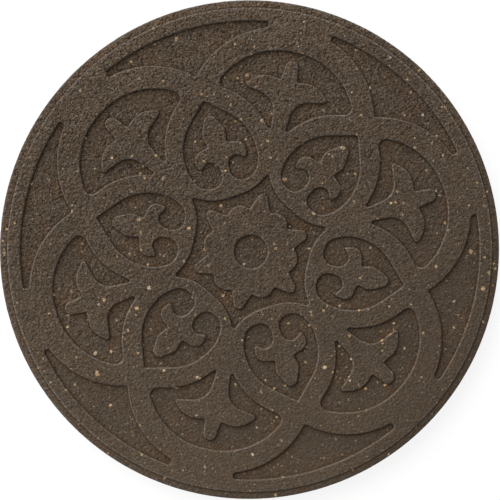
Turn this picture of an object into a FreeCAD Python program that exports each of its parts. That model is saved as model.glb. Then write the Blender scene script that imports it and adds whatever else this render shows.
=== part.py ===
"""Round garden stepping stone, moulded in one piece from bound rubber crumb.

The tread is a flat land with a rosette sunk into it: crescents along the rim, lilies under six
arches, fleurs-de-lis in six hearts, and a twelve-petalled flower in a six-pointed star.
Millimetres, +Z up. The origin is the centre of the underside.
"""

import FreeCAD
import Part

import math
import os

# Stone
STONE_DIAMETER = 450.0
STONE_THICKNESS = 20.0
BASE_CHAMFER = 1.5

# Stepped edge of the tread
LEDGE_WIDTH = 7.1
LEDGE_DROP = 1.2
LEDGE_FALL = 0.7
EDGE_CHAMFER = 1.2

# Sunk relief
REPEATS = 6
RELIEF_DEPTH = 3.0
WALL_DRAFT_DEG = 22.0
RIM_BAND = 11.1

# The rosette is drawn at the sizes below and then fitted to the stone's own field
CORNER_ROUND = 0.9
LEAST_TRUE_ROUND = 2.5

# Star and the flower in it
STAR_SIDE = 52.4
STAR_SIDE_WIDTH = 40.8
STAR_SIDE_RADIUS = 45.0
STAR_POINT = 73.9
STAR_POINT_ROUND = 2.0
FLOWER_LONG_PETAL = 53.2
FLOWER_LONG_TIP_WIDTH = 6.6
FLOWER_SHORT_PETAL = 43.2
FLOWER_SHORT_TIP_WIDTH = 9.2
FLOWER_VALLEY = 38.7
FLOWER_VALLEY_ANGLE_DEG = 16.0
FLOWER_VALLEY_ROUND = 1.5
FLOWER_EYE_RADIUS = 15.3

# Hearts, each with a fleur-de-lis standing in its cleft
STAR_HEART_BAND = 12.2
HEART_LENGTH = 78.4
HEART_WIDTH = 66.2
HEART_SIDE_RADIUS = 46.0
HEART_SCROLL = 23.7
FLEUR_STEM_WIDTH = 7.8
FLEUR_LEAF_SPAN = 51.7
FLEUR_LEAF_RISE = 32.8
FLEUR_LEAF_ROUND = 1.3
FLEUR_BUD_WIDTH = 22.4
FLEUR_BUD_GAP = 14.8

# Crescents between the rim and the arches
HEART_CRESCENT_BAND = 22.0
CRESCENT_HEIGHT = 43.2
CRESCENT_END_WIDTH = 5.5
CRESCENT_END_ROUND = 2.0
ARCH_CROWN_INSET = 2.6
ARCH_BAND = 21.6

# Lilies under the arches, their lengths counted down from the crown
HEART_LILY_BAND = 18.0
LILY_FIELD_RADIUS = 68.8
LILY_FIELD_SPREAD_DEG = 62.0
LILY_FIELD_WIDTH = 128.8
LILY_FIELD_DROP = 43.5
LILY_FIELD_ROUND = 7.0
LILY_LENGTH = 75.2
LILY_FOOT_ROUND = 1.7
LILY_STEM_WIDTH = 12.0
LILY_LEAF_SPAN = 79.4
LILY_LEAF_DROP = 38.1
LILY_LEAF_ROUND = 2.2
LILY_BUD_WIDTH = 10.6
LILY_BUD_GAP = 8.2

# Distances from the stone's centre and other sizes that follow from those above
STONE_RADIUS = STONE_DIAMETER / 2
LAND_RADIUS = STONE_RADIUS - LEDGE_WIDTH
FIELD_RADIUS = LAND_RADIUS - RIM_BAND
FLOOR_HEIGHT = STONE_THICKNESS - RELIEF_DEPTH
WALL_RUN = RELIEF_DEPTH * math.tan(math.radians(WALL_DRAFT_DEG))
SECTOR_DEG = 360.0 / REPEATS
HEART_BASE = STAR_SIDE + STAR_HEART_BAND
HEART_TIP = HEART_BASE + HEART_LENGTH
CRESCENT_CUSP = HEART_TIP + HEART_CRESCENT_BAND
ROSETTE_RADIUS = CRESCENT_CUSP + CRESCENT_HEIGHT
ARCH_CROWN = ROSETTE_RADIUS - ARCH_CROWN_INSET
LILY_CROWN = ARCH_CROWN - ARCH_BAND
FIT = FIELD_RADIUS / ROSETTE_RADIUS

# An outline is a closed list of corners, each an (x, y, round radius). A motif is drawn with its own
# axis along +Y and y counted from the stone's centre. Rounds below the least true one are cut as flats.


def turned(corners, angle_deg):
    """Corners turned about the stone's centre."""
    cosine = math.cos(math.radians(angle_deg))
    sine = math.sin(math.radians(angle_deg))
    return [(x * cosine - y * sine, x * sine + y * cosine, r) for x, y, r in corners]


def mirrored(half):
    """The other half of an outline that is drawn on one side of its axis."""
    return [(-x, y, r) for x, y, r in reversed(half)]


def fitted(corners):
    """Corners brought from the drawn field to the stone's own field."""
    return [(x * FIT, y * FIT, r * FIT) for x, y, r in corners]


def sides_at(corners, index):
    """Unit directions of the sides that arrive at and leave one corner."""
    x, y, _ = corners[index]
    before_x, before_y, _ = corners[index - 1]
    after_x, after_y, _ = corners[(index + 1) % len(corners)]
    arriving = FreeCAD.Vector(x - before_x, y - before_y, 0).normalize()
    leaving = FreeCAD.Vector(after_x - x, after_y - y, 0).normalize()
    return arriving, leaving


def round_reach(corners, index):
    """Length that a corner's round takes up on each of its two sides."""
    arriving, leaving = sides_at(corners, index)
    return corners[index][2] * math.tan(arriving.getAngle(leaving) / 2)


def limited(corners):
    """Corners with every round kept to the room that its two sides leave."""
    count = len(corners)
    reach = [round_reach(corners, index) for index in range(count)]
    share = [1.0] * count
    for index in range(count):
        following = (index + 1) % count
        side = math.dist(corners[index][:2], corners[following][:2])
        room = 0.98 * side / (reach[index] + reach[following])
        share[index] = min(share[index], room)
        share[following] = min(share[following], room)
    return [(x, y, r * part) for (x, y, r), part in zip(corners, share)]


def winding(corners):
    """1 for an outline that runs anticlockwise, -1 for a clockwise one."""
    area = 0.0
    for index, (x, y, _) in enumerate(corners):
        before_x, before_y, _ = corners[index - 1]
        area += before_x * y - x * before_y
    return math.copysign(1.0, area)


def grown(corners, distance):
    """Outline moved outward by a distance, or inward by a negative one."""
    sense = winding(corners)
    moved = []
    for index, (x, y, r) in enumerate(corners):
        arriving, leaving = sides_at(corners, index)
        outward_in = FreeCAD.Vector(arriving.y, -arriving.x, 0) * sense
        outward_out = FreeCAD.Vector(leaving.y, -leaving.x, 0) * sense
        shift = (outward_in + outward_out) * (distance / (1 + outward_in.dot(outward_out)))
        bend = math.copysign(1.0, sense * arriving.cross(leaving).z)
        moved.append((x + shift.x, y + shift.y, max(r + bend * distance, 0.1 * r)))
    return moved


def corner_edge(corners, index, height, as_round):
    """Edge that turns one corner: a true round, or a flat laid against the round."""
    x, y, r = corners[index]
    arriving, leaving = sides_at(corners, index)
    half_turn = arriving.getAngle(leaving) / 2
    corner = FreeCAD.Vector(x, y, height)
    depth = r / math.cos(half_turn) - r
    if as_round:
        reach = round_reach(corners, index)
        middle = corner + (leaving - arriving).normalize() * depth
        return Part.Arc(corner - arriving * reach, middle, corner + leaving * reach).toShape()
    reach = depth / math.sin(half_turn)
    return Part.LineSegment(corner - arriving * reach, corner + leaving * reach).toShape()


def rounded_wire(corners, height, true_rounds):
    """Closed wire of straight sides and turned corners at one height."""
    turns = []
    for index, as_round in enumerate(true_rounds):
        turns.append(corner_edge(corners, index, height, as_round))
    edges = []
    for turn, following in zip(turns, turns[1:] + turns[:1]):
        edges.append(turn)
        edges.append(Part.LineSegment(turn.Vertexes[-1].Point, following.Vertexes[0].Point).toShape())
    return Part.Wire(edges)


def drafted(corners, floor_growth):
    """Solid from the relief's floor to the tread, its walls sloped about the drawn outline."""
    outline = limited(fitted(corners))
    true_rounds = [r >= LEAST_TRUE_ROUND for _, _, r in outline]
    floor = rounded_wire(grown(outline, floor_growth), FLOOR_HEIGHT, true_rounds)
    mouth = rounded_wire(grown(outline, -floor_growth), STONE_THICKNESS, true_rounds)
    return Part.makeLoft([floor, mouth], True, True)


def pocket(corners):
    return drafted(corners, -WALL_RUN / 2)


def island(corners):
    return drafted(corners, WALL_RUN / 2)


def round_the_stone(solid, first_deg):
    """The solid repeated round the stone, the first copy turned by an angle."""
    copies = []
    for repeat in range(REPEATS):
        copy = solid.copy()
        copy.rotate(FreeCAD.Vector(), FreeCAD.Vector(0, 0, 1), first_deg + repeat * SECTOR_DEG)
        copies.append(copy)
    return copies


def arc_corner(centre_x, centre_y, radius, first_angle, last_angle):
    """Corner whose round is the stretch of a circle between two angles."""
    middle = (first_angle + last_angle) / 2
    distance = radius / math.cos((last_angle - first_angle) / 2)
    return (centre_x + distance * math.cos(middle), centre_y + distance * math.sin(middle), radius)


def crescent():
    """Rim arc, two blunt ends, and the outer edges of the two arches below."""
    upright = math.pi / 2
    half_sector = math.radians(SECTOR_DEG / 2)

    # The circle on a lily's axis that runs through the crescent's cusp and the arch's crown
    cusp_along = CRESCENT_CUSP * math.cos(half_sector)
    cusp_across = CRESCENT_CUSP * math.sin(half_sector)
    crown_to_cusp = ARCH_CROWN - cusp_along
    arch_radius = (crown_to_cusp ** 2 + cusp_across ** 2) / (2 * crown_to_cusp)
    arch_centre = ARCH_CROWN - arch_radius
    arch_x = arch_centre * math.sin(half_sector)
    arch_y = arch_centre * math.cos(half_sector)

    # The blunt end is where rim and arch have come this close
    end_radius = ROSETTE_RADIUS - CRESCENT_END_WIDTH
    end_cosine = (arch_centre ** 2 + end_radius ** 2 - arch_radius ** 2) / (2 * arch_centre * end_radius)
    end_angle = half_sector - math.acos(end_cosine)
    end_x = end_radius * math.sin(end_angle)
    end_y = end_radius * math.cos(end_angle)
    rim_x = ROSETTE_RADIUS * math.sin(end_angle)
    rim_y = ROSETTE_RADIUS * math.cos(end_angle)

    rim_angle = end_angle - 2 * CRESCENT_END_ROUND / ROSETTE_RADIUS
    arch_end = math.atan2(end_y - arch_y, end_x - arch_x)
    arch_cusp = math.atan2(CRESCENT_CUSP - arch_y, -arch_x)
    rim = arc_corner(0, 0, ROSETTE_RADIUS, upright - rim_angle, upright + rim_angle)
    half = [
        (rim_x, rim_y, CRESCENT_END_ROUND),
        (end_x, end_y, CRESCENT_END_ROUND),
        arc_corner(arch_x, arch_y, arch_radius, arch_end, arch_cusp),
    ]
    return [rim] + half + [(0, CRESCENT_CUSP, CORNER_ROUND)] + mirrored(half)


def lily():
    """Field under an arch, running round a lily whose foot joins the band between two hearts."""
    half_stem = LILY_STEM_WIDTH / 2
    half_leaf = LILY_LEAF_SPAN / 2
    half_bud = LILY_BUD_WIDTH / 2
    foot = LILY_CROWN - LILY_LENGTH
    leaf = LILY_CROWN - LILY_LEAF_DROP
    upright = math.pi / 2
    spread = math.radians(LILY_FIELD_SPREAD_DEG)
    half = [
        arc_corner(0, LILY_CROWN - LILY_FIELD_RADIUS, LILY_FIELD_RADIUS, upright - spread, upright),
        (LILY_FIELD_WIDTH / 2, LILY_CROWN - LILY_FIELD_DROP, LILY_FIELD_ROUND),
        (half_stem + 21.2, foot + 24.8, HEART_SIDE_RADIUS + HEART_LILY_BAND),
        (half_stem, foot, LILY_FOOT_ROUND),
        (half_stem + 3.3, leaf - 5.5, 17.0),
        (half_leaf, leaf, LILY_LEAF_ROUND),
        (half_leaf - 15.0, leaf + 14.5, 20.0),
        (half_bud + 2.1, leaf + 11.7, CORNER_ROUND),
        (half_bud, LILY_CROWN - LILY_BUD_GAP, 5.3),
    ]
    return half + mirrored(half)


def heart():
    """Field of a heart, running round a fleur-de-lis whose stem joins the heart's cleft."""
    half_width = HEART_WIDTH / 2
    half_stem = FLEUR_STEM_WIDTH / 2
    half_leaf = FLEUR_LEAF_SPAN / 2
    half_bud = FLEUR_BUD_WIDTH / 2
    scroll_top = HEART_BASE + HEART_SCROLL
    leaf = HEART_BASE + FLEUR_LEAF_RISE
    half = [
        (half_width, HEART_TIP - 31.0, HEART_SIDE_RADIUS),
        (half_width, HEART_BASE + 17.4, 30.0),
        (half_width - 8.1, HEART_BASE, 14.0),
        (half_stem, HEART_BASE, 10.0),
        (half_stem, scroll_top, 9.5),
        (half_stem + 10.3, scroll_top, 1.6),
        (half_leaf - 3.6, scroll_top - 5.8, FLEUR_LEAF_ROUND),
        (half_leaf, leaf, 8.5),
        (half_bud - 2.8, leaf + 4.0, CORNER_ROUND),
        (half_bud, leaf + 14.8, 9.0),
        (half_bud - 7.5, HEART_TIP - FLEUR_BUD_GAP, 5.4),
    ]
    return [(0, HEART_TIP, CORNER_ROUND)] + half + mirrored(half)


def star():
    """Six hollow sides, each facing a heart, and six points."""
    side = [
        (STAR_SIDE_WIDTH / 2, STAR_SIDE, STAR_SIDE_RADIUS),
        (-STAR_SIDE_WIDTH / 2, STAR_SIDE, STAR_SIDE_RADIUS),
    ]
    point = turned([(0, STAR_POINT, STAR_POINT_ROUND)], SECTOR_DEG / 2)
    corners = []
    for repeat in range(REPEATS):
        corners += turned(side + point, repeat * SECTOR_DEG)
    return corners


def flower():
    """Long petals toward the star's points and short ones between them."""
    half_long = FLOWER_LONG_TIP_WIDTH / 2
    half_short = FLOWER_SHORT_TIP_WIDTH / 2
    long_petal = [(half_long, FLOWER_LONG_PETAL, 3.8), (-half_long, FLOWER_LONG_PETAL, 3.8)]
    short_petal = [(half_short, FLOWER_SHORT_PETAL, 9.0), (-half_short, FLOWER_SHORT_PETAL, 9.0)]
    valley = [(0, FLOWER_VALLEY, FLOWER_VALLEY_ROUND)]
    petals = short_petal + turned(valley, FLOWER_VALLEY_ANGLE_DEG)
    petals += turned(long_petal, SECTOR_DEG / 2) + turned(valley, SECTOR_DEG - FLOWER_VALLEY_ANGLE_DEG)
    corners = []
    for repeat in range(REPEATS):
        corners += turned(petals, repeat * SECTOR_DEG)
    return corners


def eye():
    """Round hollow in the middle of the flower."""
    radius = FLOWER_EYE_RADIUS * FIT
    foot = FreeCAD.Vector(0, 0, FLOOR_HEIGHT)
    return Part.makeCone(radius - WALL_RUN / 2, radius + WALL_RUN / 2, RELIEF_DEPTH, foot)


def blank():
    """Plain disc with its stepped edge, before the rosette is sunk into it."""
    ledge_height = STONE_THICKNESS - LEDGE_DROP
    edge_height = ledge_height - LEDGE_FALL
    step_foot = LAND_RADIUS + LEDGE_DROP * math.tan(math.radians(WALL_DRAFT_DEG))
    section = [
        (0, 0),
        (STONE_RADIUS - BASE_CHAMFER, 0),
        (STONE_RADIUS, BASE_CHAMFER),
        (STONE_RADIUS, edge_height - EDGE_CHAMFER),
        (STONE_RADIUS - EDGE_CHAMFER, edge_height),
        (step_foot, ledge_height),
        (LAND_RADIUS, STONE_THICKNESS),
        (0, STONE_THICKNESS),
        (0, 0),
    ]
    profile = Part.makePolygon([FreeCAD.Vector(radius, 0, height) for radius, height in section])
    return Part.Face(profile).revolve(FreeCAD.Vector(), FreeCAD.Vector(0, 0, 1), 360)


def stepping_stone():
    sunk = round_the_stone(pocket(crescent()), 0)
    sunk += round_the_stone(pocket(heart()), 0)
    sunk += round_the_stone(pocket(lily()), SECTOR_DEG / 2)
    sunk.append(pocket(star()).cut(island(flower())))
    sunk.append(eye())
    return blank().cut(sunk)


os.makedirs("parts", exist_ok=True)
stepping_stone().exportStep("parts/stepping_stone.step")
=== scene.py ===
import math
import random

import bpy
import numpy as np
from mathutils import Matrix, Vector, kdtree, noise
from mathutils.geometry import delaunay_2d_cdt


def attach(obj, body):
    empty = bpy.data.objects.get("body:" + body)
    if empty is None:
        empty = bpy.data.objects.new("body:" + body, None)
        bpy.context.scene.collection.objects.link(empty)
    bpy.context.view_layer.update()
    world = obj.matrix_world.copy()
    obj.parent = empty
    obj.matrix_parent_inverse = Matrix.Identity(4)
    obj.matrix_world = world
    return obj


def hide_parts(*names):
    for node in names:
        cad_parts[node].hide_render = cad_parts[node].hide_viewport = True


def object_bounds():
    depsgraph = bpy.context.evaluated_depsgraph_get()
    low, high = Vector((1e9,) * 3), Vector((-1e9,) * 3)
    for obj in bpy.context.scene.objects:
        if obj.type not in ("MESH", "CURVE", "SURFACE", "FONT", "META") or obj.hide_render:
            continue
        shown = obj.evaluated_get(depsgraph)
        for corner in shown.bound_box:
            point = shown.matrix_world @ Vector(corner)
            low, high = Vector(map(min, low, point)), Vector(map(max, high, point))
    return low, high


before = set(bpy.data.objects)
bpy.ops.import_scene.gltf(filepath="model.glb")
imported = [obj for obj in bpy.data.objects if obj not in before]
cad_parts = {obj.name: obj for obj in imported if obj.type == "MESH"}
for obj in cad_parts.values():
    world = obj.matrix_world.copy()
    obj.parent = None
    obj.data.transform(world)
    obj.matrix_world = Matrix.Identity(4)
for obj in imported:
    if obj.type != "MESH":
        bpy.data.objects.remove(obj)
cad_box = [list(corner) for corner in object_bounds()]

# Lengths are metres and the axes are those of the CAD stone: tread up along +Z, underside at 0.
# Names that end in MM hold millimetres.
MM = 0.001
CRUMB_SEED = 11

# Reading the CAD stone
FINE_GRID = 1e-6
COARSE_GRID = 1e-5
LEVEL_TOLERANCE = 2e-6
EDGE_TOLERANCE = 5e-6
TINY = 1e-9

# Walls of the rosette, with distances from a wall's middle line below 0 on the land
OUTLINE_SPACING = 1.7 * MM
FINE_SPACING = 0.4 * MM
FINEST_SPACING = 0.16 * MM
LEAST_LOOP_POINTS = 8
CORNER_EASING = 8
SHOULDER_START = -0.79 * MM
WALL_FOOT = 0.85 * MM
SHOULDER_POWER = 1.07
FOOT_POWER = 1.09

# Points of the tread: rows beside the walls, and scattered points on the open land and floors
WALL_ROWS_MM = (0.05, -0.35, 0.45, -0.65, 0.8, -0.92, 1.1, -1.5, 1.9)
CLOSE_ROWS_MM = (-1, 1.5)
OPEN_MARGIN_MM = 0.9
ROW_TOLERANCE = 0.1 * MM
CLOSE_ROW_ROOM = 0.22 * MM
OUTER_ROW_ROOM = 0.55 * MM
OPEN_ROOM = 0.9 * MM
OPEN_SPACING = 1.9 * MM
RIM_MARGIN = 0.6 * OPEN_SPACING
POINT_JITTER = 0.22

# Ring-shaped pit with a rubbed knob in it: rings as (share of its radius, number of points)
PIT_PLACE = (40.3 * MM, 10.7 * MM)
PIT_RADIUS = 1.9 * MM
PIT_DEPTH = 1.1 * MM
PIT_RINGS = ((0.0, 1), (0.5, 7), (1.0, 12), (1.5, 16), (2.2, 18))
PIT_ROOM = 0.3 * MM
# Painted shade in the pit's ring-shaped groove
PIT_RING_WIDTH = 0.4
PIT_SHADE = 1.6
KNOB_WIDTH = 0.45
KNOB_WEAR = 2.0

# Painted highlight on the crests, and painted shade at the feet of the walls
CREST_PLACE_MM = -0.5
CREST_WIDTH_MM = 0.33
SHADE_RISE_MM = 0.3
SHADE_UP_WALL_MM = 0.42
SHADE_OVER_FLOOR_MM = 0.4

# Stepped edge and side
EDGE_SEGMENTS = 708
EDGE_START = 1.6 * MM
LEAST_EDGE_STEP = 0.15 * MM
EDGE_SAMPLE = 0.05 * MM
EDGE_EASING = 200
EDGE_ROW_SPACING = 2.6 * MM
EDGE_ROW_BEND = math.radians(24)
BEND_WINDOW = 15
FULL_BEND = 0.045
STEP_REACH = 1.5 * MM
# Painted highlight on the crests of the step and of the side
STEP_HIGHLIGHT = 1.1
SIDE_HIGHLIGHT = 0.4
# Least relief level of the edge rows, which puts some painted recess shade on the ledge and side
LEAST_EDGE_LEVEL = 0.6
# Painted shade in the hollow at the foot of the step
EDGE_HOLLOW_SHADE = 0.8

# Underside
UNDERSIDE_SPACING = 6.5 * MM
UNDERSIDE_INSET = 3 * MM
UNDERSIDE_MARGIN = 4 * MM
UNDERSIDE_SKIN = 0.2 * MM

# Lumps of the crumb, which is coarser towards one side of the stone
LUMP_SIZE = 4.2 * MM
LUMP_HEIGHT = 0.11 * MM
CRUMB_HEIGHT = 0.10 * MM
COARSE_SIDE = (-0.12, 0.99, 0.0)
COARSE_SPAN = (-0.2, 0.15)
COARSE_LIFT = (0.4, 1.5)
STEEP_LIFT = (0.4, 1.0)

# Directions of the view over the tread, for the stone's broad tone and its painted shade towards
# the right
FAR_SIDE = (0.299, 0.954, 0.0)
RIGHT_SIDE = (0.954, -0.299, 0.0)
MIDDLE_TONE = 0.93
FAR_TONE = 4.5
# Painted shade: darker towards the right, as light falling off
RIGHT_FALLOFF_SHADE = -0.2

# Grain of the material, in cells or waves a metre
RAGGED_SCALE = 900.0
RAGGED_MOVE = 1.4 * MM
CRUMB_SCALE = 660.0
FINE_SCALE = 1500.0
CLUMP_SCALE = 400.0
RUDDY_SCALE = 45.0
BROAD_SCALE = 16.0
FINE_BUMP = 0.2
CLUMP_BUMP = 3.3
LEAST_BUMP = 0.35
COARSE_BUMP = 1.1
BUMP_HEIGHT = 1.0 * MM
RUBBER_IOR = 1.45

# Colours
CRUMB_COLOURS = (
    (0.0, (0.072, 0.048, 0.0295)),
    (0.25, (0.120, 0.083, 0.0515)),
    (0.65, (0.151, 0.109, 0.072)),
    (0.88, (0.177, 0.135, 0.097)),
    (1.0, (0.230, 0.189, 0.152)),
)
PORE_COLOURS = (
    (0.0, (0.12, 0.08, 0.045)),
    (0.16, (1.0, 1.0, 1.0)),
)
RUBBED_COLOUR = (0.0605, 0.043, 0.0283, 1.0)
RUDDY_TINT = (1.10, 0.97, 0.88, 1.0)
# Painted shade in hollows and at wall feet: a warm tint and a dark colour
SHADE_TINT = (1.05, 0.94, 0.77, 1.0)
SHADE_TINT_POWER = 0.45
PAINTED_SHADE_COLOUR = (0.017, 0.0092, 0.0037, 1.0)
# Painted highlight on the crests, also the colour of the rubbed knob
HIGHLIGHT_AND_WEAR_COLOUR = (0.212, 0.192, 0.174, 1.0)

# Tan chips: each layer has its cells a metre, the share left plain, and its least and most cover
CHIP_LAYERS = (
    (310.0, 0.9982, 0.6, 1.0),
    (450.0, 0.9925, 0.45, 1.0),
    (700.0, 0.981, 0.1, 0.4),
)
CHIP_COLOURS = (
    (0.0, (0.36, 0.255, 0.16)),
    (0.35, (0.48, 0.31, 0.165)),
    (0.65, (0.56, 0.375, 0.21)),
    (0.85, (0.42, 0.32, 0.225)),
    (1.0, (0.63, 0.465, 0.30)),
)

# Floor
FLOOR_REACH = 4.0
FLOOR_DROP = 0.0003
FLOOR_COLOUR = (0.8, 0.8, 0.8, 1.0)
FLOOR_ROUGHNESS = 0.9
SHADOW_COLOUR = (0.18, 0.18, 0.18, 1.0)
FLOOR_GLOW = 0.85
WHITE = (1.0, 1.0, 1.0, 1.0)

# Light: angles in degrees round the view and above the tread
EVEN_LIGHT = 0.38
KEY_SHARE = 0.60
KEY_SPREAD = 62
KEY_ROUND = 124
KEY_HEIGHT = 31
KEY_AWAY = 2.0
FILL_SHARE = 0.09
FILL_SIZE = 0.5
FILL_ROUND = 195
FILL_HEIGHT = 35
FILL_AWAY = 0.62

# Camera
VIEW_TURN = math.radians(17.4)
VIEW_TILT = math.radians(3.69)
VIEW_LEAN = math.radians(121.6)
VIEW_DISTANCE = 1.569
VIEW_WIDTH = 0.4494
VIEW_AIM = (-0.72 * MM, 1.57 * MM)
SENSOR_WIDTH = 36
CLIP_END = 50


def cad_faces(stone):
    """The CAD stone's corners, joined where they meet, and its triangles."""
    mesh = stone.data
    mesh.calc_loop_triangles()
    corners = np.zeros(len(mesh.vertices) * 3, np.float32)
    mesh.vertices.foreach_get("co", corners)
    faces = np.zeros(len(mesh.loop_triangles) * 3, np.int32)
    mesh.loop_triangles.foreach_get("vertices", faces)
    keys = np.round(corners.reshape(-1, 3) / FINE_GRID).astype(np.int64)
    joined, place = np.unique(keys, axis=0, return_inverse=True)
    faces = place.reshape(-1)[faces].reshape(-1, 3)
    return joined * FINE_GRID, faces


def level_faces(corners, faces):
    """The triangles of the tread's land and of the sunk floors, and the floors' height."""
    a, b, c = (corners[faces[:, k]] for k in range(3))
    heights = np.stack([a[:, 2], b[:, 2], c[:, 2]], axis=1)
    area = 0.5 * ((b - a)[:, 0] * (c - a)[:, 1] - (b - a)[:, 1] * (c - a)[:, 0])
    level = (np.ptp(heights, axis=1) < LEVEL_TOLERANCE) & (area > 0)
    top = corners[:, 2].max()
    land = level & (heights[:, 0] > top - LEVEL_TOLERANCE)
    sunk = level & ~land
    shared = {}
    for height, size in zip(np.round(heights[sunk, 0] / COARSE_GRID), area[sunk]):
        shared[height] = shared.get(height, 0.0) + size
    floor_height = max(shared, key=shared.get) * COARSE_GRID
    floors = sunk & (np.abs(heights[:, 0] - floor_height) < COARSE_GRID)
    return faces[land], faces[floors], floor_height


def outlines(corners, faces):
    """The closed plan outlines round level triangles, which lie to the left of each outline."""
    sides = np.concatenate([faces[:, [0, 1]], faces[:, [1, 2]], faces[:, [2, 0]]])
    directed = set(map(tuple, sides.tolist()))
    following = {a: b for a, b in sorted(directed) if (b, a) not in directed}
    loops = []
    while following:
        start = next(iter(following))
        loop = [start]
        point = following.pop(start)
        while point != start:
            loop.append(point)
            point = following.pop(point)
        loops.append(corners[loop, :2])
    return loops


def lengths_along(line):
    """The distance from the start of a row of points to each of them."""
    return np.concatenate([[0.0], np.cumsum(np.hypot(*np.diff(line, axis=0).T))])


def evenly_spaced(loop, spacing):
    """Points at an even spacing round a closed outline."""
    closed = np.vstack([loop, loop[:1]])
    along = lengths_along(closed)
    count = max(LEAST_LOOP_POINTS, int(round(along[-1] / spacing)))
    at = np.arange(count) * along[-1] / count
    return np.column_stack([np.interp(at, along, closed[:, k]) for k in range(2)])


def eased(loop, passes):
    """A closed row of points with its corners eased."""
    for _ in range(passes):
        loop = 0.25 * np.roll(loop, 1, axis=0) + 0.5 * loop + 0.25 * np.roll(loop, -1, axis=0)
    return loop


def pocket_side(loop):
    """Unit vectors pointing from the land into the pocket, round an outline of the land."""
    run = np.roll(loop, -1, axis=0) - np.roll(loop, 1, axis=0)
    run /= np.maximum(np.hypot(run[:, 0], run[:, 1]), TINY)[:, None]
    return np.column_stack([run[:, 1], -run[:, 0]])


def hexagon_points(radius, spacing, chance):
    """Plan points spread over a disc, each moved a little from an even pattern."""
    rise = spacing * math.sqrt(3) / 2
    points = []
    for row in range(-int(radius / rise), int(radius / rise) + 1):
        for column in range(-int(radius / spacing) - 1, int(radius / spacing) + 2):
            x = (column + 0.5 * (row % 2)) * spacing
            x += chance.uniform(-POINT_JITTER, POINT_JITTER) * spacing
            y = row * rise + chance.uniform(-POINT_JITTER, POINT_JITTER) * spacing
            if math.hypot(x, y) < radius:
                points.append((x, y))
    return points


def ring_points(radius):
    """Plan points on a circle, as many as the edge of the stone has segments."""
    angles = 2 * math.pi * np.arange(EDGE_SEGMENTS) / EDGE_SEGMENTS
    return np.column_stack([radius * np.cos(angles), radius * np.sin(angles)])


class WallLine:
    """The middle line of every wall of the rosette, with the way from it into the pocket."""

    def __init__(self, walls, wall_run):
        self.rows = []
        fine_rows = []
        for wall in walls:
            fine = eased(evenly_spaced(wall, FINE_SPACING), CORNER_EASING)
            fine = fine + pocket_side(fine) * wall_run / 2
            self.rows.append(evenly_spaced(fine, OUTLINE_SPACING))
            fine_rows.append(evenly_spaced(fine, FINEST_SPACING))
        self.into_pocket = np.vstack([pocket_side(row) for row in fine_rows])
        self.tree = kdtree.KDTree(len(self.into_pocket))
        for index, (x, y) in enumerate(np.vstack(fine_rows).tolist()):
            self.tree.insert((x, y, 0.0), index)
        self.tree.balance()

    def distance(self, x, y):
        """How far a plan point is from the nearest wall, below 0 on the land."""
        nearest, index, away = self.tree.find((x, y, 0.0))
        inwards = self.into_pocket[index]
        along = (x - nearest.x) * inwards[0] + (y - nearest.y) * inwards[1]
        return away if along > 0 else -away


def run_of_walls(walls, floor_lines):
    """The usual plan distance from the top of a wall to its foot."""
    foot_points = np.vstack([evenly_spaced(loop, FINE_SPACING) for loop in floor_lines])
    foot = kdtree.KDTree(len(foot_points))
    for x, y in foot_points:
        foot.insert((x, y, 0.0), 0)
    foot.balance()
    return float(np.median([foot.find((x, y, 0.0))[2] for wall in walls for x, y in wall]))


def tread_points(wall_line, radius, chance):
    """Plan points of the tread: rows along every wall, the pit's rings, and scattered points."""
    cells = {}
    kept = []

    def place(x, y, room):
        i, j = int(x // MM), int(y // MM)
        for di in (-1, 0, 1):
            for dj in (-1, 0, 1):
                for a, b in cells.get((i + di, j + dj), ()):
                    if (x - a) ** 2 + (y - b) ** 2 < room * room:
                        return
        cells.setdefault((i, j), []).append((x, y))
        kept.append((x, y))

    for offset in WALL_ROWS_MM:
        close = CLOSE_ROWS_MM[0] < offset < CLOSE_ROWS_MM[1]
        for row in wall_line.rows:
            for x, y in (row + pocket_side(row) * offset * MM).tolist():
                if abs(wall_line.distance(x, y) - offset * MM) < ROW_TOLERANCE:
                    place(x, y, CLOSE_ROW_ROOM if close else OUTER_ROW_ROOM)
    for reach, count in PIT_RINGS:
        for turn in np.linspace(0, 2 * math.pi, count, endpoint=False):
            x = PIT_PLACE[0] + reach * PIT_RADIUS * math.cos(turn)
            y = PIT_PLACE[1] + reach * PIT_RADIUS * math.sin(turn)
            place(x, y, PIT_ROOM)
    highest, lowest = max(WALL_ROWS_MM) + OPEN_MARGIN_MM, min(WALL_ROWS_MM) - OPEN_MARGIN_MM
    for x, y in hexagon_points(radius - RIM_MARGIN, OPEN_SPACING, chance):
        away = wall_line.distance(x, y) / MM
        if away > highest or away < lowest:
            place(x, y, OPEN_ROOM)
    return np.vstack([np.array(kept), ring_points(radius)])


def triangulated(points):
    """Triangles over plan points whose outermost ring is a circle."""
    plan = [Vector(point) for point in points.tolist()]
    result = delaunay_2d_cdt(plan, [], [], 0, TINY, True)
    order = [sources[0] for sources in result[3]]
    return [[order[k] for k in face] for face in result[2]]


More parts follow.
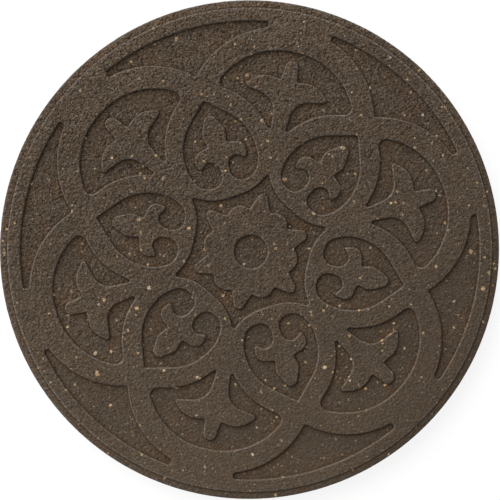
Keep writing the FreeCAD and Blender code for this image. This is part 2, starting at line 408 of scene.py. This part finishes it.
def edge_profile(corners, land_radius, start_radius, end_radius):
    """The stone's edge from the land over the step, ledge and side to the underside.

    Each row is (radius, height, crest, hollow), the last two from 0 to 1.
    """
    radius = np.hypot(corners[:, 0], corners[:, 1])
    outside = radius > land_radius - EDGE_TOLERANCE
    pairs = np.column_stack([-corners[outside, 2], radius[outside]])
    pairs = np.unique(np.round(pairs / COARSE_GRID), axis=0)
    line = [(start_radius, corners[:, 2].max())]
    for drop, out in pairs * COARSE_GRID:
        if math.dist(line[-1], (out, -drop)) > LEAST_EDGE_STEP:
            line.append((out, -drop))
    line.append((end_radius, 0.0))
    line = np.array(line)
    along = lengths_along(line)
    at = np.linspace(0.0, along[-1], int(along[-1] / EDGE_SAMPLE))
    fine = np.column_stack([np.interp(at, along, line[:, k]) for k in range(2)])
    for _ in range(EDGE_EASING):
        fine[1:-1] = 0.25 * fine[:-2] + 0.5 * fine[1:-1] + 0.25 * fine[2:]
    run = np.diff(fine, axis=0)
    length = np.hypot(run[:, 0], run[:, 1])
    bend = np.diff(np.unwrap(np.arctan2(run[:, 1], run[:, 0])), prepend=0.0)
    bend[0] = 0.0
    pace = np.cumsum(length / EDGE_ROW_SPACING + np.abs(bend) / EDGE_ROW_BEND)
    pace = np.concatenate([[0.0], pace])
    rows = np.linspace(0.0, pace[-1], int(round(pace[-1])) + 1)
    window = np.ones(BEND_WINDOW) / BEND_WINDOW
    smooth_bend = np.convolve(np.append(bend, 0.0), window, mode="same")
    crest = np.clip(-smooth_bend / FULL_BEND, 0.0, 1.0)
    hollow = np.clip(smooth_bend / FULL_BEND, 0.0, 1.0)
    return [[np.interp(row, pace, line) for line in (*fine.T, crest, hollow)] for row in rows]


class Skin:
    """The stone's surface while it is built: its points, the marks on them, and its faces."""

    def __init__(self):
        self.points = []
        self.marks = {"relief_level": [], "worn_edge": [], "settled_dirt": []}
        self.faces = []
        self.count = 0

    def add(self, plan, height, **marks):
        """Adds plan points with their height and marks, and returns the index of the first."""
        first = self.count
        self.count += len(plan)
        self.points.append(np.column_stack([plan, np.broadcast_to(height, len(plan))]))
        for name, values in self.marks.items():
            values.append(np.broadcast_to(marks[name], len(plan)))
        return first


def add_tread(skin, wall_line, radius, top, floor_height, chance):
    """Adds the tread, with its land, walls, sunk floors and pit."""
    plan = tread_points(wall_line, radius, chance)
    away = np.array([wall_line.distance(x, y) for x, y in plan.tolist()])
    down_wall = np.clip((away - SHOULDER_START) / (WALL_FOOT - SHOULDER_START), 0.0, 1.0)
    level = (1.0 - down_wall ** SHOULDER_POWER) ** FOOT_POWER
    from_pit = np.hypot(plan[:, 0] - PIT_PLACE[0], plan[:, 1] - PIT_PLACE[1]) / PIT_RADIUS
    pit = np.exp(-((from_pit - 1.0) / PIT_RING_WIDTH) ** 2)
    knob = np.exp(-(from_pit / KNOB_WIDTH) ** 2)
    # Painted highlight along the crests, and wear on the pit's knob
    crest = np.exp(-0.5 * ((away / MM - CREST_PLACE_MM) / CREST_WIDTH_MM) ** 2)
    # Painted shade at the feet of the walls, reaching up the wall and over the floor, and in the
    # pit's groove
    past_foot = (away - WALL_FOOT) / MM + SHADE_RISE_MM
    up_wall = np.exp(past_foot / SHADE_UP_WALL_MM)
    over_floor = np.exp(-past_foot / SHADE_OVER_FLOOR_MM)
    foot_shade = np.where(past_foot < 0, up_wall, over_floor)
    skin.add(
        plan,
        floor_height + (top - floor_height) * level - PIT_DEPTH * pit,
        relief_level=level,
        worn_edge=crest + KNOB_WEAR * knob,
        settled_dirt=np.maximum(foot_shade, PIT_SHADE * pit),
    )
    skin.faces += triangulated(plan)


def add_edge(skin, profile, land_radius, top, floor_height):
    """Adds the edge round the tread's last ring, and returns the first index of its last row."""
    last_row = skin.count - EDGE_SEGMENTS
    for radius, height, crest, hollow in profile[1:]:
        # A low relief level gives the ledge and side painted recess shade; the step gets a painted
        # highlight on its crest and painted shade in its hollow
        level = np.clip((height - floor_height) / (top - floor_height), LEAST_EDGE_LEVEL, 1.0)
        row = skin.add(
            ring_points(radius),
            height,
            relief_level=level ** 2,
            worn_edge=crest * (STEP_HIGHLIGHT if radius < land_radius + STEP_REACH else SIDE_HIGHLIGHT),
            settled_dirt=EDGE_HOLLOW_SHADE * hollow,
        )
        for k in range(EDGE_SEGMENTS):
            n = (k + 1) % EDGE_SEGMENTS
            skin.faces.append([last_row + k, row + k, row + n, last_row + n])
        last_row = row
    return last_row


def add_underside(skin, last_row, radius, chance):
    """Adds the flat underside within the edge's last row."""
    inner = np.array(hexagon_points(radius - UNDERSIDE_MARGIN, UNDERSIDE_SPACING, chance))
    first = skin.add(inner, 0.0, relief_level=1.0, worn_edge=0.0, settled_dirt=0.0)
    place = [*range(first, skin.count), *range(last_row, last_row + EDGE_SEGMENTS)]
    faces = triangulated(np.vstack([inner, ring_points(radius)]))
    skin.faces += [[place[k] for k in reversed(face)] for face in faces]


def crumb_stone():
    """The CAD stone's rosette and edge, with softened crests and a skin of crumbs."""
    chance = random.Random(CRUMB_SEED)
    corners, faces = cad_faces(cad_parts["stepping_stone"])
    land, floors, floor_height = level_faces(corners, faces)
    top = float(corners[:, 2].max())
    land_lines = outlines(corners, land)
    land_lines.sort(key=lambda loop: -np.hypot(loop[:, 0], loop[:, 1]).min())
    rim, *walls = land_lines
    land_radius = float(np.hypot(rim[:, 0], rim[:, 1]).mean())
    start_radius = land_radius - EDGE_START
    under_radius = np.hypot(corners[:, 0], corners[:, 1])[corners[:, 2] < FINE_GRID]
    base_radius = float(under_radius.max()) - UNDERSIDE_INSET

    skin = Skin()
    wall_line = WallLine(walls, run_of_walls(walls, outlines(corners, floors)))
    add_tread(skin, wall_line, start_radius, top, floor_height, chance)
    profile = edge_profile(corners, land_radius, start_radius, base_radius)
    last_row = add_edge(skin, profile, land_radius, top, floor_height)
    add_underside(skin, last_row, base_radius, chance)

    mesh = bpy.data.meshes.new("crumb_stone")
    mesh.from_pydata(np.vstack(skin.points).tolist(), [], skin.faces)
    mesh.update()
    raise_crumbs(mesh, chance)
    mesh.shade_smooth()
    for name, values in skin.marks.items():
        attribute = mesh.attributes.new(name, "FLOAT", "POINT")
        attribute.data.foreach_set("value", np.concatenate(values).astype(np.float32))
    stone = bpy.data.objects.new("crumb_stone", mesh)
    bpy.context.scene.collection.objects.link(stone)
    return stone


def raise_crumbs(mesh, chance):
    """Moves each point a little along its normal, into the lumps of the bound crumb."""
    count = len(mesh.vertices)
    places = np.zeros(count * 3, np.float32)
    mesh.vertices.foreach_get("co", places)
    normals = np.zeros(count * 3, np.float32)
    mesh.vertex_normals.foreach_get("vector", normals)
    places, normals = places.reshape(-1, 3), normals.reshape(-1, 3)
    lift = np.empty(count, np.float32)
    for k, (x, y, z) in enumerate(places.tolist()):
        lump = noise.noise(Vector((x, y, z)) / LUMP_SIZE)
        lift[k] = lump * LUMP_HEIGHT + chance.uniform(-1, 1) * CRUMB_HEIGHT
    lift *= np.interp(places @ np.array(COARSE_SIDE), COARSE_SPAN, COARSE_LIFT)
    lift *= np.interp(np.abs(normals[:, 2]), (0.0, 1.0), STEEP_LIFT)
    under = places[:, 2] < UNDERSIDE_SKIN
    lift[under] = -np.abs(lift[under])
    mesh.vertices.foreach_set("co", (places + normals * lift[:, None]).reshape(-1))
    mesh.update()


def added(tree, kind, **values):
    """A new shader node with some of its settings and inputs."""
    made = tree.nodes.new(kind)
    for name, value in values.items():
        if name in made.inputs:
            made.inputs[name].default_value = value
        else:
            setattr(made, name, value)
    return made


def fed(tree, sockets, values):
    """Gives each input socket a node output or a plain value."""
    for socket, value in zip(sockets, values):
        if isinstance(value, bpy.types.NodeSocket):
            tree.links.new(value, socket)
        else:
            socket.default_value = value


def mixed(tree, kind, factor, one, other):
    """A colour mix of two node outputs or plain colours."""
    mix = added(tree, "ShaderNodeMix", data_type="RGBA", blend_type=kind)
    fed(tree, (mix.inputs[0], mix.inputs[6], mix.inputs[7]), (factor, one, other))
    return mix.outputs[2]


def reckoned(tree, operation, one, other=0.0, third=0.0):
    """The result of a sum with node outputs or plain numbers."""
    sum_node = added(tree, "ShaderNodeMath", operation=operation)
    fed(tree, sum_node.inputs, (one, other, third))
    return sum_node.outputs[0]


def vector_sum(tree, operation, *terms):
    """A node that reckons with vectors, each a node output or a plain vector."""
    sum_node = added(tree, "ShaderNodeVectorMath", operation=operation)
    fed(tree, sum_node.inputs, terms)
    return sum_node


def along_side(tree, place, side):
    """How far a place lies towards one side of the stone."""
    return vector_sum(tree, "DOT_PRODUCT", place, side).outputs["Value"]


def ranged(tree, value, low, high, start, end):
    """A node output carried from one range to another, held at its ends."""
    spread = added(tree, "ShaderNodeMapRange")
    tree.links.new(value, spread.inputs["Value"])
    limits = (("From Min", low), ("From Max", high), ("To Min", start), ("To Max", end))
    for name, number in limits:
        spread.inputs[name].default_value = number
    return spread.outputs["Result"]


def ramp(tree, value, stops):
    """A colour ramp over a node output."""
    scale = added(tree, "ShaderNodeValToRGB")
    tree.links.new(value, scale.inputs["Fac"])
    while len(scale.color_ramp.elements) < len(stops):
        scale.color_ramp.elements.new(0.5)
    for element, (place, colour) in zip(scale.color_ramp.elements, stops):
        element.position = place
        element.color = (*colour, 1.0)
    return scale.outputs["Color"]


def noise_over(tree, place, **values):
    """A noise texture over a place."""
    texture = added(tree, "ShaderNodeTexNoise", **values)
    tree.links.new(place, texture.inputs["Vector"])
    return texture


def cells_over(tree, place, scale):
    """Cells over a place: the distance from each cell's middle, and three chances for each."""
    texture = added(tree, "ShaderNodeTexVoronoi", Scale=scale)
    tree.links.new(place, texture.inputs["Vector"])
    chances = added(tree, "ShaderNodeSeparateColor")
    tree.links.new(texture.outputs["Color"], chances.inputs[0])
    return texture.outputs["Distance"], chances.outputs


def mark(tree, name):
    """One of the marks on the stone's points."""
    return added(tree, "ShaderNodeAttribute", attribute_name=name).outputs["Fac"]


def rubber_crumb():
    """Dark brown bound rubber crumb with tan chips, a painted highlight on the crests, and painted
    shade in the sunk floors and hollows.
    """
    material = bpy.data.materials.new("rubber_crumb")
    material.use_nodes = True
    tree = material.node_tree
    link = tree.links.new
    skin = tree.nodes["Principled BSDF"]
    place = added(tree, "ShaderNodeTexCoord").outputs["Object"]

    ragged = noise_over(tree, place, Scale=RAGGED_SCALE, Detail=1.0)
    centred = vector_sum(tree, "SUBTRACT", ragged.outputs["Color"], (0.5, 0.5, 0.5))
    step = (RAGGED_MOVE, RAGGED_MOVE, RAGGED_MOVE)
    ragged_place = vector_sum(tree, "MULTIPLY_ADD", centred.outputs[0], step, place).outputs[0]

    from_crumb, crumb_chance = cells_over(tree, ragged_place, CRUMB_SCALE)
    fine = noise_over(tree, place, Scale=FINE_SCALE, Detail=3.0, Roughness=0.6).outputs["Fac"]
    clumps = noise_over(tree, place, Scale=CLUMP_SCALE, Detail=1.0).outputs["Fac"]
    ruddy = noise_over(tree, place, Scale=RUDDY_SCALE, Detail=2.0).outputs["Fac"]
    broad = noise_over(tree, place, Scale=BROAD_SCALE, Detail=2.0).outputs["Fac"]
    coarse_side = along_side(tree, place, COARSE_SIDE)
    level = mark(tree, "relief_level")
    hollow_shade = mark(tree, "settled_dirt")
    highlight_and_wear = mark(tree, "worn_edge")

    # Crumbs, plainer where they are rubbed, with dark pores and painted shade in the crevices
    # between them
    colour = ramp(tree, crumb_chance[0], CRUMB_COLOURS)
    rubbed = ranged(tree, coarse_side, *COARSE_SPAN, 0.8, 0.3)
    colour = mixed(tree, "MIX", rubbed, colour, RUBBED_COLOUR)
    pores = ramp(tree, crumb_chance[2], PORE_COLOURS)
    pore_part = ranged(tree, coarse_side, *COARSE_SPAN, 0.15, 0.8)
    colour = mixed(tree, "MULTIPLY", pore_part, colour, pores)
    crevice_shade = ranged(tree, from_crumb, 0.45, 0.8, 1.0, 0.62)
    crevice_shade_part = ranged(tree, coarse_side, *COARSE_SPAN, 0.3, 1.0)
    colour = mixed(tree, "MULTIPLY", crevice_shade_part, colour, crevice_shade)

    # Broad tone: cloudy and paler at the near and far ends; painted light makes it paler on the
    # coarse side, towards the key, and painted shade makes it darker towards the right
    far = along_side(tree, place, FAR_SIDE)
    right = along_side(tree, place, RIGHT_SIDE)
    from_middle = reckoned(tree, "MULTIPLY", far, far)
    end_tone_and_right_shade = reckoned(tree, "MULTIPLY_ADD", from_middle, FAR_TONE, MIDDLE_TONE)
    end_tone_and_right_shade = reckoned(tree, "MULTIPLY_ADD", right, RIGHT_FALLOFF_SHADE, end_tone_and_right_shade)
    broad_shade = ranged(tree, broad, 0.3, 0.7, 0.93, 1.07)
    # Painted light: paler on the coarse side, which lies towards the key
    painted_key_side_light = ranged(tree, coarse_side, -0.05, 0.17, 0.965, 1.06)
    for shade in (broad_shade, painted_key_side_light, end_tone_and_right_shade):
        colour = mixed(tree, "MULTIPLY", 1.0, colour, shade)
    ruddy_part = ranged(tree, ruddy, 0.45, 0.7, 0.0, 1.0)
    sunk_part = ranged(tree, level, 0.0, 1.0, 1.0, 0.4)
    ruddy_part = reckoned(tree, "MULTIPLY", ruddy_part, sunk_part)
    colour = mixed(tree, "MULTIPLY", ruddy_part, colour, RUDDY_TINT)

    # Painted shade in the sunk floors, in hollows and at the feet of the walls, and a painted
    # highlight on the crests with wear on the knob
    # Painted shade: sunk floors darker than the land
    painted_recess_shade = ranged(tree, level, 0.0, 1.0, 0.92, 1.0)
    colour = mixed(tree, "MULTIPLY", 1.0, colour, painted_recess_shade)
    hollow_shade_spread = reckoned(tree, "POWER", hollow_shade, SHADE_TINT_POWER)
    colour = mixed(tree, "MULTIPLY", hollow_shade_spread, colour, SHADE_TINT)
    hollow_shade_part = reckoned(tree, "MULTIPLY", hollow_shade, ranged(tree, broad, 0.35, 0.65, 0.42, 0.84))
    colour = mixed(tree, "MIX", hollow_shade_part, colour, PAINTED_SHADE_COLOUR)
    highlight_and_wear_part = reckoned(tree, "MULTIPLY", highlight_and_wear, ranged(tree, clumps, 0.35, 0.65, 0.2, 1.0))
    highlight_and_wear_side = ranged(tree, coarse_side, -0.2, 0.1, 0.5, 1.0)
    highlight_and_wear_part = reckoned(tree, "MULTIPLY", highlight_and_wear_part, highlight_and_wear_side)
    colour = mixed(tree, "MIX", highlight_and_wear_part, colour, HIGHLIGHT_AND_WEAR_COLOUR)

    for scale, plain_share, least, most in CHIP_LAYERS:
        from_chip, chip_chance = cells_over(tree, ragged_place, scale)
        chosen = reckoned(tree, "GREATER_THAN", chip_chance[0], plain_share)
        cover = ranged(tree, from_chip, 0.58, 0.7, 1.0, 0.0)
        strength = ranged(tree, chip_chance[2], 0.0, 1.0, least, most)
        chip_part = reckoned(tree, "MULTIPLY", reckoned(tree, "MULTIPLY", chosen, cover), strength)
        colour = mixed(tree, "MIX", chip_part, colour, ramp(tree, chip_chance[1], CHIP_COLOURS))
    link(colour, skin.inputs["Base Color"])

    shine = reckoned(tree, "ADD", crumb_chance[1], fine)
    link(ranged(tree, shine, 0.4, 1.2, 0.55, 0.95), skin.inputs["Roughness"])
    skin.inputs["IOR"].default_value = RUBBER_IOR
    link(ranged(tree, hollow_shade_spread, 0.2, 0.9, 0.22, 0.06), skin.inputs["Specular IOR Level"])

    lumps = ranged(tree, from_crumb, 0.1, 0.75, 0.9, 0.0)
    grain = reckoned(tree, "MULTIPLY_ADD", fine, FINE_BUMP, lumps)
    grain = reckoned(tree, "MULTIPLY_ADD", clumps, CLUMP_BUMP, grain)
    coarseness = ranged(tree, coarse_side, *COARSE_SPAN, 0.0, 1.0)
    coarseness = reckoned(tree, "POWER", coarseness, 2.0)
    grain_part = reckoned(tree, "MULTIPLY_ADD", coarseness, COARSE_BUMP, LEAST_BUMP)
    grain = reckoned(tree, "MULTIPLY", grain, grain_part)
    bump = added(tree, "ShaderNodeBump", Strength=1.0, Distance=BUMP_HEIGHT)
    link(grain, bump.inputs["Height"])
    link(bump.outputs["Normal"], skin.inputs["Normal"])
    return material


def pale_floor():
    """A plain pale floor that looks white to the camera and keeps a light shadow."""
    material = bpy.data.materials.new("pale_floor")
    material.use_nodes = True
    tree = material.node_tree
    link = tree.links.new
    plain = tree.nodes["Principled BSDF"]
    plain.inputs["Base Color"].default_value = FLOOR_COLOUR
    plain.inputs["Roughness"].default_value = FLOOR_ROUGHNESS
    plain.inputs["Specular IOR Level"].default_value = 0.0
    shadow = added(tree, "ShaderNodeBsdfDiffuse", Color=SHADOW_COLOUR)
    glow = added(tree, "ShaderNodeEmission", Color=WHITE, Strength=FLOOR_GLOW)
    seen = added(tree, "ShaderNodeAddShader")
    link(shadow.outputs[0], seen.inputs[0])
    link(glow.outputs[0], seen.inputs[1])
    link(seen_or_lit(tree, seen, plain), tree.nodes["Material Output"].inputs["Surface"])
    mesh = bpy.data.meshes.new("floor")
    reach = FLOOR_REACH
    corners = [(-reach, -reach, 0), (reach, -reach, 0), (reach, reach, 0), (-reach, reach, 0)]
    mesh.from_pydata(corners, [], [(0, 1, 2, 3)])
    mesh.materials.append(material)
    floor = bpy.data.objects.new("floor", mesh)
    floor.location.z = -FLOOR_DROP
    bpy.context.scene.collection.objects.link(floor)


def seen_or_lit(tree, seen, lighting):
    """One shader for the rays that show the background itself, and another for all that light."""
    path = added(tree, "ShaderNodeLightPath").outputs
    mirrored = reckoned(tree, "MAXIMUM", path["Is Glossy Ray"], path["Is Transmission Ray"])
    chosen = added(tree, "ShaderNodeMixShader")
    tree.links.new(reckoned(tree, "MAXIMUM", path["Is Camera Ray"], mirrored), chosen.inputs[0])
    tree.links.new(lighting.outputs[0], chosen.inputs[1])
    tree.links.new(seen.outputs[0], chosen.inputs[2])
    return chosen.outputs[0]


def studio_light():
    """A soft key from beyond the far edge, a weak fill from the left, and even light all round."""
    world = bpy.data.worlds.new("studio")
    bpy.context.scene.world = world
    world.use_nodes = True
    tree = world.node_tree
    even = tree.nodes["Background"]
    even.inputs["Color"].default_value = WHITE
    even.inputs["Strength"].default_value = EVEN_LIGHT
    white = added(tree, "ShaderNodeBackground", Color=WHITE, Strength=1.0)
    tree.links.new(seen_or_lit(tree, white, even), tree.nodes["World Output"].inputs["Surface"])

    key = bpy.data.lights.new("key", "SUN")
    key.angle = math.radians(KEY_SPREAD)
    key.energy = KEY_SHARE * math.pi / math.sin(math.radians(KEY_HEIGHT))
    aim_lamp(bpy.data.objects.new("key", key), KEY_ROUND, KEY_HEIGHT, KEY_AWAY)
    fill = bpy.data.lights.new("side_fill", "AREA")
    fill.size = FILL_SIZE
    fill.energy = FILL_SHARE * math.pi ** 2 * FILL_AWAY ** 2 / math.sin(math.radians(FILL_HEIGHT))
    aim_lamp(bpy.data.objects.new("side_fill", fill), FILL_ROUND, FILL_HEIGHT, FILL_AWAY)


def aim_lamp(lamp, round_view, height, away):
    """Sets a lamp at an angle round the view, from its right-hand side, and a height above it."""
    turn = math.radians(round_view) - VIEW_TURN
    towards = direction(turn, math.radians(height))
    lamp.rotation_euler = towards.to_track_quat("Z", "Y").to_euler()
    lamp.location = towards * away
    bpy.context.scene.collection.objects.link(lamp)


def direction(turn, rise):
    """A unit vector from its turn about +Z and its rise above the tread."""
    level = math.cos(rise)
    return Vector((math.cos(turn) * level, math.sin(turn) * level, math.sin(rise)))


def overhead_camera():
    """The camera, almost straight above the stone and turned as in the photograph."""
    camera = bpy.data.objects.new("overhead", bpy.data.cameras.new("overhead"))
    camera.data.sensor_width = SENSOR_WIDTH
    camera.data.lens = SENSOR_WIDTH * VIEW_DISTANCE / VIEW_WIDTH
    camera.data.clip_end = CLIP_END
    back = direction(VIEW_LEAN, math.pi / 2 - VIEW_TILT)
    upwards = Vector((0.0, 1.0, 0.0))
    right = upwards.cross(back).normalized()
    upwards = back.cross(right)
    turned_back = Matrix.Rotation(-VIEW_TURN, 4, "Z")
    aim = Vector((*VIEW_AIM, cad_box[1][2]))
    place = Matrix.Translation(aim + back * VIEW_DISTANCE)
    facing = Matrix((right, upwards, back)).transposed().to_4x4()
    camera.matrix_world = turned_back @ place @ facing
    bpy.context.scene.collection.objects.link(camera)
    bpy.context.scene.camera = camera


stone = crumb_stone()
stone.data.materials.append(rubber_crumb())
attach(stone, "root")
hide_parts("stepping_stone")

pale_floor()
studio_light()
overhead_camera()
bpy.context.scene.view_settings.view_transform = "Standard"
